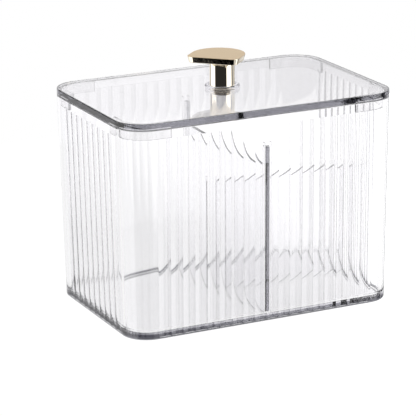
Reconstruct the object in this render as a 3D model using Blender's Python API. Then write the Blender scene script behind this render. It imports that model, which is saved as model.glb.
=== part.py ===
"""Clear cotton bud organizer: a fluted box with a lift-off lid, two slide-in dividers and a gold knob.

Metres, +Z up. The origin is the middle of the base. X runs along the box, the front faces -Y.
"""
import math

import bmesh
import bpy
from mathutils import Vector

# Box body, a drafted tray whose corners share one centre at every height
BODY_LENGTH = 0.135
BODY_WIDTH = 0.090
BODY_HEIGHT = 0.0957
CORNER_RADIUS = 0.0139
DRAFT_INSET = 0.0018
WALL = 0.0024
FLOOR_THICKNESS = 0.0018
FLOOR_FILLET = 0.0020
FOOT_HEIGHT = 0.0007
FOOT_WIDTH = 0.0028
EDGE_ROUND = 0.0003

# Concave flutes on the outside of the walls
FLUTE_PITCH = 0.00592
FLUTE_RADIUS = 0.0108
FLUTE_START = 0.0008
PLAIN_BAND = 0.0040
FLUTE_END_LAND = 0.0002

# Clearances between separate pieces
SEAT_GAP = 0.0003
SLIDE_CLEARANCE = 0.0003
LUG_CLEARANCE = 0.0004

# Dividers and the rails that they slide in. The main panel stands a little right of the box's middle
PANEL_THICKNESS = 0.0016
PANEL_TOP_ROUND = 0.0015
MAIN_PANEL_PLACE = 0.0011
MAIN_PANEL_HEIGHT = 0.0695
EAR_HEIGHT = 0.0090
EAR_WIDTH = 0.0032
EAR_ROUND = 0.0010
CROSS_PANEL_HEIGHT = 0.0516
RAIL_THICKNESS = 0.0007
RAIL_DEPTH = 0.0016
RAIL_OVER = 0.0020
RAIL_ROOT = 0.0008

# Lid with locating lugs in its corners
LID_THICKNESS = 0.0030
LID_EDGE_ROUND = 0.0004
LUG_THICKNESS = 0.0012
LUG_DEPTH = 0.0045
LUG_LEG = 0.0080
LUG_ROOT = 0.0008

# Knob, its collar and its screw
STEM_DIAMETER = 0.0115
STEM_LENGTH = 0.0124
STEM_EDGE_ROUND = 0.0004
CAP_WIDTH = 0.0248
CAP_DEPTH = 0.0222
CAP_THICKNESS = 0.0030
CAP_CORNER_RADIUS = 0.0036
CAP_EDGE_ROUND = 0.0003
CAP_SIDE_SHIFT = 0.0014
CAP_TURN = math.radians(-45)
COLLAR_DIAMETER = 0.0160
COLLAR_HEIGHT = 0.0016
SCREW_DIAMETER = 0.0038
SCREW_HEAD_DIAMETER = 0.0075
SCREW_HEAD_HEIGHT = 0.0022
SCREW_HEAD_ROUND = 0.0006
SCREW_ENGAGEMENT = 0.0070
SCREW_SOCKET_WIDTH = 0.0024
SCREW_SOCKET_DEPTH = 0.0012

# Smoothness of the round shapes
CORNER_STEPS = 16
FLUTE_STEPS = 8
FILLET_STEPS = 4
ROUND_SIDES = 48
CUT_OVERRUN = 0.0010

# Places that follow from the sizes above
CORNER_X = BODY_LENGTH / 2 - CORNER_RADIUS
CORNER_Y = BODY_WIDTH / 2 - CORNER_RADIUS
FLOOR_TOP = FOOT_HEIGHT + FLOOR_THICKNESS
FLUTE_TOP = BODY_HEIGHT - PLAIN_BAND
LID_BOTTOM = BODY_HEIGHT + SEAT_GAP
PANEL_BOTTOM = FLOOR_TOP + SEAT_GAP
SLOT_WIDTH = PANEL_THICKNESS + 2 * SLIDE_CLEARANCE
MAIN_PANEL_TOP = PANEL_BOTTOM + MAIN_PANEL_HEIGHT
EAR_TOP = MAIN_PANEL_TOP + EAR_HEIGHT
MAIN_RAIL_TOP = EAR_TOP + RAIL_OVER
CROSS_PANEL_TOP = PANEL_BOTTOM + CROSS_PANEL_HEIGHT
CROSS_RAIL_TOP = CROSS_PANEL_TOP + RAIL_OVER
SCREW_HOLE_DIAMETER = SCREW_DIAMETER + 2 * SLIDE_CLEARANCE


def clear_scene():
    """Remove whatever the open file holds."""
    for obj in list(bpy.data.objects):
        bpy.data.objects.remove(obj, do_unlink=True)


def clear_plastic(name, tint):
    """A clear moulded plastic with a faint grey-lavender tint."""
    material = bpy.data.materials.new(name)
    material.use_nodes = True
    shader = material.node_tree.nodes["Principled BSDF"]
    shader.inputs["Base Color"].default_value = (*tint, 1)
    shader.inputs["Roughness"].default_value = 0.03
    shader.inputs["Metallic"].default_value = 0
    shader.inputs["IOR"].default_value = 1.57
    shader.inputs["Transmission Weight"].default_value = 1
    material.diffuse_color = (*tint, 0.35)
    return material


def plated_metal(name, colour, roughness):
    """A plated or brushed metal."""
    material = bpy.data.materials.new(name)
    material.use_nodes = True
    shader = material.node_tree.nodes["Principled BSDF"]
    shader.inputs["Base Color"].default_value = (*colour, 1)
    shader.inputs["Roughness"].default_value = roughness
    shader.inputs["Metallic"].default_value = 1
    material.diffuse_color = (*colour, 1)
    return material


def new_object(name, bm, material=None, parent=None, location=(0, 0, 0)):
    """Turn a bmesh into a named object, shaded smooth except at its sharp edges."""
    bmesh.ops.recalc_face_normals(bm, faces=bm.faces)
    mesh = bpy.data.meshes.new(name)
    bm.to_mesh(mesh)
    bm.free()
    mesh.shade_smooth()
    mesh.set_sharp_from_angle(angle=math.radians(30))
    obj = bpy.data.objects.new(name, mesh)
    bpy.context.scene.collection.objects.link(obj)
    if material is not None:
        mesh.materials.append(material)
    obj.parent = parent
    obj.location = location
    return obj


def combine(obj, tool, operation):
    """Join or cut an object with a tool shape, which stays in the file as a wire guide."""
    tool.hide_render = True
    tool.display_type = "WIRE"
    modifier = obj.modifiers.new(tool.name, "BOOLEAN")
    modifier.operation = operation
    modifier.solver = "EXACT"
    modifier.object = tool


def prism(bm, lower, upper):
    """Close a solid between two outlines with the same number of points."""
    low = [bm.verts.new(point) for point in lower]
    high = [bm.verts.new(point) for point in upper]
    count = len(low)
    for i in range(count):
        j = (i + 1) % count
        bm.faces.new((low[i], low[j], high[j], high[i]))
    bm.faces.new(list(reversed(low)))
    bm.faces.new(high)


def turned(bm, profile, sides):
    """Turn a profile of (radius, height) points about the Z axis into a closed solid."""
    rings = []
    for radius, height in profile:
        if radius == 0:
            rings.append([bm.verts.new((0, 0, height))])
            continue
        angles = [2 * math.pi * step / sides for step in range(sides)]
        rings.append([bm.verts.new((radius * math.cos(a), radius * math.sin(a), height)) for a in angles])
    for first, second in zip(rings, rings[1:]):
        for i in range(sides):
            j = (i + 1) % sides
            corners = [first[i % len(first)], first[j % len(first)]]
            corners += [second[j % len(second)], second[i % len(second)]]
            bm.faces.new(list(dict.fromkeys(corners)))


def rod_tool(name, diameter, bottom, top, parent):
    """A plain rod on the Z axis, for cutting a hole."""
    bm = bmesh.new()
    radius = diameter / 2
    turned(bm, [(0, bottom), (radius, bottom), (radius, top), (0, top)], ROUND_SIDES)
    return new_object(name, bm, parent=parent)


def inset_at(height):
    """How far the drafted wall stands inside the rim outline at a height."""
    return DRAFT_INSET * (1 - height / BODY_HEIGHT)


def flute_count(half_run):
    """The flutes that fit between two corners."""
    return int((half_run - FLUTE_END_LAND) * 2 / FLUTE_PITCH)


def side_marks(half_run):
    """Places along one side: its two ends, and every crest between flutes."""
    count = flute_count(half_run)
    crests = [(index - count / 2) * FLUTE_PITCH for index in range(count + 1)]
    return [-half_run] + crests + [half_run]


def body_ring(inset, height):
    """The plain outline of the body at an inset, counter-clockwise from the front left.

    Returns its points, and for each point the inward direction of the flute that starts there,
    or None where the wall is plain.
    """
    radius = max(CORNER_RADIUS - inset, FLUTE_END_LAND)
    reach_x = CORNER_X + radius
    reach_y = CORNER_Y + radius
    sides = (
        (CORNER_X, lambda run: (run, -reach_y), (0, 1)),
        (CORNER_Y, lambda run: (reach_x, run), (-1, 0)),
        (CORNER_X, lambda run: (-run, reach_y), (0, -1)),
        (CORNER_Y, lambda run: (-reach_x, -run), (1, 0)),
    )
    centres = ((1, -1), (1, 1), (-1, 1), (-1, -1))
    points = []
    flutes = []
    for index, (half_run, place, inward) in enumerate(sides):
        marks = side_marks(half_run)
        for number, run in enumerate(marks):
            points.append(Vector((*place(run), height)))
            flutes.append(inward if 1 <= number < len(marks) - 2 else None)
        sign_x, sign_y = centres[index]
        start = math.radians(90) * (index - 1)
        for step in range(1, CORNER_STEPS):
            angle = start + math.radians(90) * step / CORNER_STEPS
            x = sign_x * CORNER_X + radius * math.cos(angle)
            y = sign_y * CORNER_Y + radius * math.sin(angle)
            points.append(Vector((x, y, height)))
            flutes.append(None)
    return points, flutes


def flute_points(first, last, inward):
    """The points of one concave flute between two crests, hollowed towards the inside."""
    half = FLUTE_PITCH / 2
    crest_depth = math.sqrt(max(FLUTE_RADIUS ** 2 - half ** 2, 0))
    direction = Vector((*inward, 0))
    hollow = []
    for step in range(1, FLUTE_STEPS):
        share = step / FLUTE_STEPS
        across = (share * 2 - 1) * half
        depth = math.sqrt(max(FLUTE_RADIUS ** 2 - across ** 2, 0)) - crest_depth
        hollow.append(first.lerp(last, share) + direction * depth)
    return hollow


def join_rings(bm, lower, upper, skip=()):
    """Bridge two rings of vertices, except at the listed places."""
    count = len(lower)
    for i in range(count):
        if i not in skip:
            j = (i + 1) % count
            bm.faces.new((lower[i], lower[j], upper[j], upper[i]))


def flute_band(bm, lower, upper, flutes):
    """Hollow the flutes between two rings of vertices, with a flat end above and below."""
    count = len(lower)
    for i, inward in enumerate(flutes):
        if inward is None:
            continue
        j = (i + 1) % count
        low = [bm.verts.new(p) for p in flute_points(lower[i].co, lower[j].co, inward)]
        high = [bm.verts.new(p) for p in flute_points(upper[i].co, upper[j].co, inward)]
        low = [lower[i]] + low + [lower[j]]
        high = [upper[i]] + high + [upper[j]]
        for a in range(len(low) - 1):
            bm.faces.new((low[a], low[a + 1], high[a + 1], high[a]))
        bm.faces.new(low)
        bm.faces.new(list(reversed(high)))


def body_levels():
    """Every ring of the body as (inset, height), from the foot up the outside and down the inside."""
    outside = [
        (inset_at(0) + EDGE_ROUND, 0),
        (inset_at(EDGE_ROUND), EDGE_ROUND),
        (inset_at(FLUTE_START), FLUTE_START),
        (inset_at(FLUTE_TOP), FLUTE_TOP),
        (inset_at(BODY_HEIGHT - EDGE_ROUND), BODY_HEIGHT - EDGE_ROUND),
        (EDGE_ROUND, BODY_HEIGHT),
    ]
    inside = [(WALL, BODY_HEIGHT)]
    for step in range(FILLET_STEPS + 1):
        angle = math.radians(90) * step / FILLET_STEPS
        height = FLOOR_TOP + FLOOR_FILLET * (1 - math.sin(angle))
        inside.append((inset_at(height) + WALL + FLOOR_FILLET * (1 - math.cos(angle)), height))
    return outside, inside


def make_body_shell(bm):
    """The tray itself, with its flutes, its filleted floor and its raised foot."""
    outside, inside = body_levels()
    rings = []
    flutes = []
    for inset, height in outside + inside:
        points, flutes = body_ring(inset, height)
        rings.append([bm.verts.new(point) for point in points])
    fluted = [index for index, inward in enumerate(flutes) if inward is not None]
    for level, (lower, upper) in enumerate(zip(rings, rings[1:])):
        is_flute_band = outside[level][1] == FLUTE_START if level < len(outside) else False
        join_rings(bm, lower, upper, skip=fluted if is_flute_band else ())
        if is_flute_band:
            flute_band(bm, lower, upper, flutes)
    bm.faces.new(rings[-1])
    foot_inset = inset_at(0) + FOOT_WIDTH
    foot_rings = []
    for height in (0, FOOT_HEIGHT):
        points, flutes = body_ring(foot_inset, height)
        foot_rings.append([bm.verts.new(point) for point in points])
    join_rings(bm, foot_rings[0], rings[0])
    join_rings(bm, foot_rings[1], foot_rings[0])
    bm.faces.new(foot_rings[1])


def wall_face(run_half, height):
    """The inner face of a drafted wall, measured from the middle of the box."""
    return run_half + CORNER_RADIUS - inset_at(height) - WALL


def wall_rail(bm, side, centre, top):
    """Two upright ribs on the inner face of a wall, which hold the edge of a panel between them.

    side is the wall's outward direction, and centre is the panel's place along that wall.
    """
    out_x, out_y = side
    run_half = CORNER_X if out_x else CORNER_Y
    bottom = FLOOR_TOP - FLOOR_THICKNESS / 2
    for sign in (-1, 1):
        near = centre + sign * SLOT_WIDTH / 2
        far = near + sign * RAIL_THICKNESS
        outlines = []
        for height in (bottom, top):
            face = wall_face(run_half, height)
            outline = []
            for depth, along in ((face - RAIL_DEPTH, near), (face - RAIL_DEPTH, far),
                                 (face + RAIL_ROOT, far), (face + RAIL_ROOT, near)):
                x = out_x * depth + abs(out_y) * along
                y = out_y * depth + abs(out_x) * along
                outline.append((x, y, height))
            outlines.append(outline)
        prism(bm, outlines[0], outlines[1])


def make_box_body(plastic):
    """The fluted tray with the divider rails moulded on its walls."""
    bm = bmesh.new()
    make_body_shell(bm)
    body = new_object("box_body", bm, plastic)
    rails = bmesh.new()
    wall_rail(rails, (0, -1), MAIN_PANEL_PLACE, MAIN_RAIL_TOP)
    wall_rail(rails, (0, 1), MAIN_PANEL_PLACE, MAIN_RAIL_TOP)
    wall_rail(rails, (1, 0), 0, CROSS_RAIL_TOP)
    combine(body, new_object("wall_rails", rails), "UNION")
    return body


def corner_arc(centre, radius, start, sweep, steps):
    """Points along an arc, both ends included."""
    points = []
    for step in range(steps + 1):
        angle = start + sweep * step / steps
        points.append((centre[0] + radius * math.cos(angle), centre[1] + radius * math.sin(angle)))
    return points


def panel_edge(run_half):
    """The outer edge of a divider beside a drafted wall, as (reach, height) points going up.

    Its foot is rounded to follow the fillet between the wall and the floor.
    """
    foot_radius = max(FLOOR_FILLET - SEAT_GAP, EDGE_ROUND)
    reach_low = wall_face(run_half, FLOOR_TOP + FLOOR_FILLET) - SLIDE_CLEARANCE
    centre = (reach_low - foot_radius, PANEL_BOTTOM + foot_radius)
    quarter = math.radians(90)
    return corner_arc(centre, foot_radius, -quarter, quarter, FILLET_STEPS)


def panel_top_corner(run_half, top):
    """The rounded upper corner of a divider beside a drafted wall."""
    reach_top = wall_face(run_half, top) - SLIDE_CLEARANCE
    centre = (reach_top - PANEL_TOP_ROUND, top - PANEL_TOP_ROUND)
    quarter = math.radians(90)
    return corner_arc(centre, PANEL_TOP_ROUND, 0, quarter, FILLET_STEPS)


def panel_ear(run_half):
    """The narrow ear that runs on up the rails from the top of the main panel, as points going over it."""
    bend = min(EAR_ROUND, EAR_WIDTH / 3)
    outer = wall_face(run_half, EAR_TOP) - SLIDE_CLEARANCE
    inner = outer - EAR_WIDTH
    quarter = math.radians(90)
    points = corner_arc((outer - bend, EAR_TOP - bend), bend, 0, quarter, FILLET_STEPS)
    points += corner_arc((inner + bend, EAR_TOP - bend), bend, quarter, quarter, FILLET_STEPS)
    points += corner_arc((inner - bend, MAIN_PANEL_TOP + bend), bend, 0, -quarter, FILLET_STEPS)
    return points


def make_main_divider(plastic):
    """The tall panel across the box, with an ear at each end and two ribs that hold the cross panel."""
    right_edge = panel_edge(CORNER_Y) + panel_ear(CORNER_Y)
    left_edge = [(-reach, height) for reach, height in reversed(right_edge)]
    outline = right_edge + left_edge
    half = PANEL_THICKNESS / 2
    bm = bmesh.new()
    prism(bm, [(-half, y, z - PANEL_BOTTOM) for y, z in outline],
          [(half, y, z - PANEL_BOTTOM) for y, z in outline])
    divider = new_object("main_divider", bm, plastic, location=(MAIN_PANEL_PLACE, 0, PANEL_BOTTOM))
    rib_top = CROSS_RAIL_TOP - PANEL_BOTTOM
    ribs = bmesh.new()
    for sign in (-1, 1):
        near = sign * SLOT_WIDTH / 2
        far = near + sign * RAIL_THICKNESS
        base = [(0, near), (half + RAIL_DEPTH, near), (half + RAIL_DEPTH, far), (0, far)]
        prism(ribs, [(x, y, 0) for x, y in base], [(x, y, rib_top) for x, y in base])
    combine(divider, new_object("main_divider_ribs", ribs, parent=divider), "UNION")
    return divider


def make_cross_divider(plastic):
    """The lower panel that parts the right half of the box."""
    start = MAIN_PANEL_PLACE + PANEL_THICKNESS / 2 + SLIDE_CLEARANCE
    right_edge = panel_edge(CORNER_X) + panel_top_corner(CORNER_X, CROSS_PANEL_TOP)
    outline = right_edge + [(start, CROSS_PANEL_TOP), (start, PANEL_BOTTOM)]
    half = PANEL_THICKNESS / 2
    bm = bmesh.new()
    prism(bm, [(x - start, half, z - PANEL_BOTTOM) for x, z in outline],
          [(x - start, -half, z - PANEL_BOTTOM) for x, z in outline])
    return new_object("cross_divider", bm, plastic, location=(start, 0, PANEL_BOTTOM))


def lid_outline(inset, height):
    """The plain rounded outline of the lid at an inset."""
    radius = CORNER_RADIUS - inset
    points = []
    for index, (sign_x, sign_y) in enumerate(((1, -1), (1, 1), (-1, 1), (-1, -1))):
        centre = (sign_x * CORNER_X, sign_y * CORNER_Y)
        quarter = math.radians(90)
        arc = corner_arc(centre, radius, quarter * (index - 1), quarter, CORNER_STEPS)
        points += [(x, y, height) for x, y in arc]
    return points


def lug_outline(sign_x, sign_y):
    """One L-shaped lug that follows the inside of a corner, with a straight leg along each wall."""
    outer_radius = CORNER_RADIUS - WALL - inset_at(BODY_HEIGHT - LUG_DEPTH) - LUG_CLEARANCE
    inner_radius = outer_radius - LUG_THICKNESS
    quarter = math.radians(90)
    outer = corner_arc((0, 0), outer_radius, 0, quarter, CORNER_STEPS)
    inner = corner_arc((0, 0), inner_radius, quarter, -quarter, CORNER_STEPS)
    outline = [(outer_radius, -LUG_LEG)] + outer + [(-LUG_LEG, outer_radius)]
    outline += [(-LUG_LEG, inner_radius)] + inner + [(inner_radius, -LUG_LEG)]
    return [(sign_x * (CORNER_X + x), sign_y * (CORNER_Y + y)) for x, y in outline]


def make_lid(plastic):
    """The flat lid plate with a lug in each corner and a hole for the knob's screw."""
    levels = (
        (LID_EDGE_ROUND, 0),
        (0, LID_EDGE_ROUND),
        (0, LID_THICKNESS - LID_EDGE_ROUND),
        (LID_EDGE_ROUND, LID_THICKNESS),
    )
    bm = bmesh.new()
    rings = [[bm.verts.new(point) for point in lid_outline(inset, height)] for inset, height in levels]
    for lower, upper in zip(rings, rings[1:]):
        join_rings(bm, lower, upper)
    bm.faces.new(rings[0])
    bm.faces.new(rings[-1])
    lid = new_object("lid", bm, plastic, location=(0, 0, LID_BOTTOM))
    lugs = bmesh.new()
    lug_low = -(LUG_DEPTH + SEAT_GAP)
    for sign_x in (-1, 1):
        for sign_y in (-1, 1):
            outline = lug_outline(sign_x, sign_y)
            prism(lugs, [(x, y, lug_low) for x, y in outline], [(x, y, LUG_ROOT) for x, y in outline])
    combine(lid, new_object("lid_lugs", lugs, parent=lid), "UNION")
    hole = rod_tool("lid_hole", SCREW_HOLE_DIAMETER, -CUT_OVERRUN, LID_THICKNESS + CUT_OVERRUN, lid)
    combine(lid, hole, "DIFFERENCE")
    return lid


def make_knob_stem(metal, lid):
    """The round post of the knob, bored from below for its screw."""
    radius = STEM_DIAMETER / 2
    bm = bmesh.new()
    turned(bm, [
        (0, 0),
        (radius - STEM_EDGE_ROUND, 0),
        (radius, STEM_EDGE_ROUND),
        (radius, STEM_LENGTH - STEM_EDGE_ROUND),
        (radius - STEM_EDGE_ROUND, STEM_LENGTH),
        (0, STEM_LENGTH),
    ], ROUND_SIDES)
    stem = new_object("knob_stem", bm, metal, lid, (0, 0, LID_THICKNESS + SEAT_GAP))
    bore_depth = SCREW_ENGAGEMENT + SEAT_GAP
    combine(stem, rod_tool("stem_bore", SCREW_HOLE_DIAMETER, -CUT_OVERRUN, bore_depth, stem), "DIFFERENCE")
    return stem


def cap_outline(inset, height):
    """The arched outline of the knob's cap: a half round, straight sides and a flat front.

    The stem meets it a little to one side of its middle.
    """
    radius = CAP_WIDTH / 2 - inset
    corner = max(CAP_CORNER_RADIUS - inset, inset)
    quarter = math.radians(90)
    front = -CAP_DEPTH / 2 + inset
    arch_centre = CAP_DEPTH / 2 - CAP_WIDTH / 2
    points = corner_arc((0, arch_centre), radius, 0, 2 * quarter, 2 * CORNER_STEPS)
    corner_x = radius - corner
    points += corner_arc((-corner_x, front + corner), corner, 2 * quarter, quarter, CORNER_STEPS)
    points += corner_arc((corner_x, front + corner), corner, -quarter, quarter, CORNER_STEPS)
    return [(x - CAP_SIDE_SHIFT, y, height) for x, y in points]


def make_knob_cap(metal, lid):
    """The flat arched plate on top of the stem, turned with its flat edge to the front left."""
    levels = (
        (CAP_EDGE_ROUND, 0),
        (0, CAP_EDGE_ROUND),
        (0, CAP_THICKNESS - CAP_EDGE_ROUND),
        (CAP_EDGE_ROUND, CAP_THICKNESS),
    )
    bm = bmesh.new()
    rings = [[bm.verts.new(point) for point in cap_outline(inset, height)] for inset, height in levels]
    for lower, upper in zip(rings, rings[1:]):
        join_rings(bm, lower, upper)
    bm.faces.new(rings[0])
    bm.faces.new(rings[-1])
    place = (0, 0, LID_THICKNESS + SEAT_GAP + STEM_LENGTH + SEAT_GAP)
    cap = new_object("knob_cap", bm, metal, lid, place)
    cap.rotation_euler = (0, 0, CAP_TURN)
    return cap


def make_knob_collar(plastic, lid):
    """The clear rounded ring round the foot of the stem."""
    inner = STEM_DIAMETER / 2 + SLIDE_CLEARANCE
    outer = COLLAR_DIAMETER / 2
    middle = (inner + outer) / 2
    half_width = (outer - inner) / 2
    crown = COLLAR_HEIGHT / 2
    bm = bmesh.new()
    profile = [(outer, 0)]
    for step in range(2 * FILLET_STEPS + 1):
        angle = math.pi * step / (2 * FILLET_STEPS)
        profile.append((middle + half_width * math.cos(angle), crown + crown * math.sin(angle)))
    profile += [(inner, 0), (outer, 0)]
    rings = []
    for radius, height in profile[:-1]:
        angles = [2 * math.pi * step / ROUND_SIDES for step in range(ROUND_SIDES)]
        rings.append([bm.verts.new((radius * math.cos(a), radius * math.sin(a), height)) for a in angles])
    for first, second in zip(rings, rings[1:] + rings[:1]):
        join_rings(bm, first, second)
    return new_object("knob_collar", bm, plastic, lid, (0, 0, LID_THICKNESS + SEAT_GAP))


def make_knob_screw(metal, lid):
    """The pan-head screw that holds the knob from under the lid."""
    head = SCREW_HEAD_DIAMETER / 2
    shank = SCREW_DIAMETER / 2
    tip = SEAT_GAP + LID_THICKNESS + SEAT_GAP + SCREW_ENGAGEMENT
    bm = bmesh.new()
    turned(bm, [
        (0, -SCREW_HEAD_HEIGHT),
        (head - SCREW_HEAD_ROUND, -SCREW_HEAD_HEIGHT),
        (head, -SCREW_HEAD_HEIGHT + SCREW_HEAD_ROUND),
        (head, 0),
        (shank, 0),
        (shank, tip - shank / 2),
        (shank / 2, tip),
        (0, tip),
    ], ROUND_SIDES)
    screw = new_object("knob_screw", bm, metal, lid, (0, 0, -SEAT_GAP))
    half = SCREW_SOCKET_WIDTH / math.sqrt(3)
    angles = [math.radians(60) * step for step in range(6)]
    hexagon = [(half * math.cos(a), half * math.sin(a)) for a in angles]
    low = -SCREW_HEAD_HEIGHT - CUT_OVERRUN
    high = -SCREW_HEAD_HEIGHT + SCREW_SOCKET_DEPTH
    socket = bmesh.new()
    prism(socket, [(x, y, low) for x, y in hexagon], [(x, y, high) for x, y in hexagon])
    combine(screw, new_object("screw_socket", socket, parent=screw), "DIFFERENCE")
    return screw


def main():
    clear_scene()
    box_plastic = clear_plastic("clear_box_plastic", (0.93, 0.92, 0.95))
    divider_plastic = clear_plastic("clear_divider_plastic", (0.95, 0.94, 0.96))
    brushed_gold = plated_metal("champagne_gold", (0.72, 0.58, 0.38), 0.35)
    mirror_gold = plated_metal("mirror_gold", (0.78, 0.65, 0.42), 0.08)
    zinc = plated_metal("zinc_plated_steel", (0.62, 0.62, 0.64), 0.3)
    make_box_body(box_plastic)
    make_main_divider(divider_plastic)
    make_cross_divider(divider_plastic)
    lid = make_lid(box_plastic)
    make_knob_stem(mirror_gold, lid)
    make_knob_cap(brushed_gold, lid)
    make_knob_collar(divider_plastic, lid)
    make_knob_screw(zinc, lid)


main()
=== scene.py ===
"""Looks of the clear cotton bud organizer: fluted box, two panels, lid and gold knob.

The file is laid out as a Blender add-on and is run as a script. Metres, +Z up, the front faces -Y.
"""

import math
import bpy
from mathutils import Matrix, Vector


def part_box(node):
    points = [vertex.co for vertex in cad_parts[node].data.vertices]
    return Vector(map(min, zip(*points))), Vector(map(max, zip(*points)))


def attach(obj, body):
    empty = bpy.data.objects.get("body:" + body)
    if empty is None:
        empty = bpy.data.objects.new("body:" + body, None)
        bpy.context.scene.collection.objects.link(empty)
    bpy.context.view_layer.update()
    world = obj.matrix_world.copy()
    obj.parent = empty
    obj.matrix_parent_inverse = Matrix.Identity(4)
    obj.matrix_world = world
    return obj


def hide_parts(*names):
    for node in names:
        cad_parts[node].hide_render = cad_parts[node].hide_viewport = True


bl_info = {
    "name": "Cotton Bud Organizer",
    "version": (1, 0, 0),
    "blender": (4, 5, 0),
    "location": "View3D > Sidebar > Organizer",
    "description": "Builds a clear fluted cotton bud organizer with a gold knob around its packed frame",
    "category": "Add Mesh",
}

from functools import partial

import bmesh
import bpy
from bpy.props import FloatProperty, FloatVectorProperty, IntProperty, PointerProperty
from mathutils import Matrix, Vector

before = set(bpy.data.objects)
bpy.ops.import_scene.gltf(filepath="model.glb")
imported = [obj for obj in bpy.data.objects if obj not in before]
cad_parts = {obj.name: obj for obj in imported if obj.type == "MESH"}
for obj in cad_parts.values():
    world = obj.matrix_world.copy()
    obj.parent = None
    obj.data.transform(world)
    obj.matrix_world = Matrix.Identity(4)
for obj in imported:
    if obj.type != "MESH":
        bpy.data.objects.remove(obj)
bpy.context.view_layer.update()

BODY_LOW, BODY_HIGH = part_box("box_body")
LID_LOW, LID_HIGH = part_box("lid")
MAIN_LOW, MAIN_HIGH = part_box("main_divider")
CROSS_LOW, CROSS_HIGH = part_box("cross_divider")
CAP_LOW, CAP_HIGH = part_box("knob_cap")
STEM_LOW, STEM_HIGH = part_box("knob_stem")
COLLAR_LOW, COLLAR_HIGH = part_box("knob_collar")
SCREW_LOW, SCREW_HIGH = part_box("knob_screw")

PROPERTY_PREFIX = "organizer_"

# A right angle, the share that parts upright faces from flat ones, and the angles that mark an edge
QUARTER = math.radians(90)
SLANTED = math.cos(QUARTER / 2)
SHARP_ANGLE = math.radians(22)
BEVEL_ANGLE = math.radians(50)

# Faces across a bevel, a rounded edge and the collar, and round the screw's socket
BEVEL_SEGMENTS = 2
EDGE_STEPS = 4
COLLAR_STEPS = 16
SOCKET_SIDES = 6

# Waves and handling marks per metre on each finish, and how its marks change the colour
PLASTIC_DETAIL = (60, 900)
GOLD_DETAIL = (120, 1400)
ZINC_DETAIL = (500, 2500)
MARK_BAND = (0.45, 0.75)
PLASTIC_FADE = 0.985
GOLD_FADE = 0.97
ZINC_FADE = 0.8

# Bump strength and distance, roughness shares, and the satin's brush lines
PLASTIC_BUMP = (0.05, 0.0001)
SATIN_BUMP = (0.15, 0.00005)
POLISH_SHARE = 0.6
SATIN_SHARES = (0.8, 1.2)
ZINC_ROUGHNESS = (0.25, 0.4)
BRUSH_TURN = math.radians(20)
BRUSH_SCALE = (300, 6000, 300)

# How strongly each clear piece absorbs, against the density that the user sets
DENSITY_SHARES = {"box_plastic": 0.3, "panel_plastic": 1.2, "lid_plastic": 1.9, "collar_plastic": 3}

# Where the painted shade on the main panel's upright ends starts along it, and where the table's right end
# brightens along the box as painted light
SHADED_END_SHARE = 0.95
RIGHT_LIGHT_SHARES = (0.25, 1.4)

# The soft light overhead: heights from which it shows and is full, its brightness, and the studio's tone
OVERHEAD_BAND = (0.80, 0.92)
OVERHEAD_LIGHT = 1.1
STUDIO_TONE = (0.99, 0.985, 1.0)
CLIP_RANGE = (0.01, 20)
LIGHT_PATHS = {
    "max_bounces": 40,
    "transmission_bounces": 40,
    "transparent_max_bounces": 40,
    "glossy_bounces": 16,
    "diffuse_bounces": 2,
}


# Sizes and looks that a user may change

def length(name, description, default):
    """A property that holds a length."""
    return FloatProperty(name=name, description=description, default=default, unit="LENGTH", precision=5)


def share(name, description, default):
    """A property that holds a share from 0 to 1."""
    return FloatProperty(name=name, description=description, default=default, min=0, max=1,
                         subtype="FACTOR")


def number(name, description, default, least=0):
    """A property that holds a plain number."""
    return FloatProperty(name=name, description=description, default=default, min=least)


def angle(name, description, degrees):
    """A property that holds an angle."""
    return FloatProperty(name=name, description=description, default=math.radians(degrees), subtype="ANGLE")


def face_count(name, description, default, least):
    """A property that holds a number of faces."""
    return IntProperty(name=name, description=description, default=default, min=least)


def colour(name, description, default):
    """A property that holds a colour."""
    return FloatVectorProperty(name=name, description=description, default=default, size=3, min=0, max=1,
                               subtype="COLOR")


class FlutedBoxSizes(bpy.types.PropertyGroup):
    """Sizes of the moulded box."""
    corner_radius: length("Corner radius", "Outer radius of the corners at the rim", 0.0139)
    draft_inset: length("Draft", "How far each wall leans in from rim to base", 0.0018)
    wall: length("Wall", "Wall thickness at the crests between flutes", 0.0024)
    floor_thickness: length("Floor", "Thickness of the floor", 0.0018)
    floor_fillet: length("Floor fillet", "Inner radius between floor and walls", 0.0020)
    foot_height: length("Foot height", "How far the foot ring lifts the floor", 0.0007)
    foot_width: length("Foot width", "Width of the foot ring", 0.0028)
    edge_round: length("Edge radius", "Radius of the rim's and foot's edges", 0.0003)
    flute_pitch: length("Flute pitch", "Distance between two crests", 0.00592)
    flute_radius: length("Flute radius", "Radius of each hollow flute", 0.0108)
    flute_start: length("Flute start", "Height where the flutes begin", 0.0008)
    plain_band: length("Plain band", "Height of the plain band under the rim", 0.0040)
    flute_ledge: length("Flute ledge", "Height of the slope that ends a flute", 0.00003)
    corner_steps: face_count("Corner steps", "Faces along a corner", 28, 4)
    flute_steps: face_count("Flute steps", "Faces across a flute", 12, 2)
    round_steps: face_count("Round steps", "Faces across a small radius", 4, 1)


class PanelSizes(bpy.types.PropertyGroup):
    """Sizes of the two panels and of the rails that hold them."""
    thickness: length("Thickness", "Thickness of both panels", 0.0016)
    top_round: length("Top corner radius", "Radius of the upper corners", 0.0015)
    clearance: length("Clearance", "Gap between a panel and its rails", 0.0003)
    rail_thickness: length("Rail thickness", "Thickness of one rail", 0.0007)
    rail_depth: length("Rail depth", "How far a rail stands out", 0.0016)
    ear_height: length("Ear height", "How far the main panel's ears rise past its top", 0.0090)
    ear_width: length("Ear width", "Width of an ear along the panel", 0.0032)
    ear_round: length("Ear radius", "Radius of the ears' corners", 0.0010)
    rail_over: length("Rail over", "How far the rails rise past the panels", 0.0020)
    edge_soft: length("Edge softness", "Small chamfer on every moulded edge", 0.00012)


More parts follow.
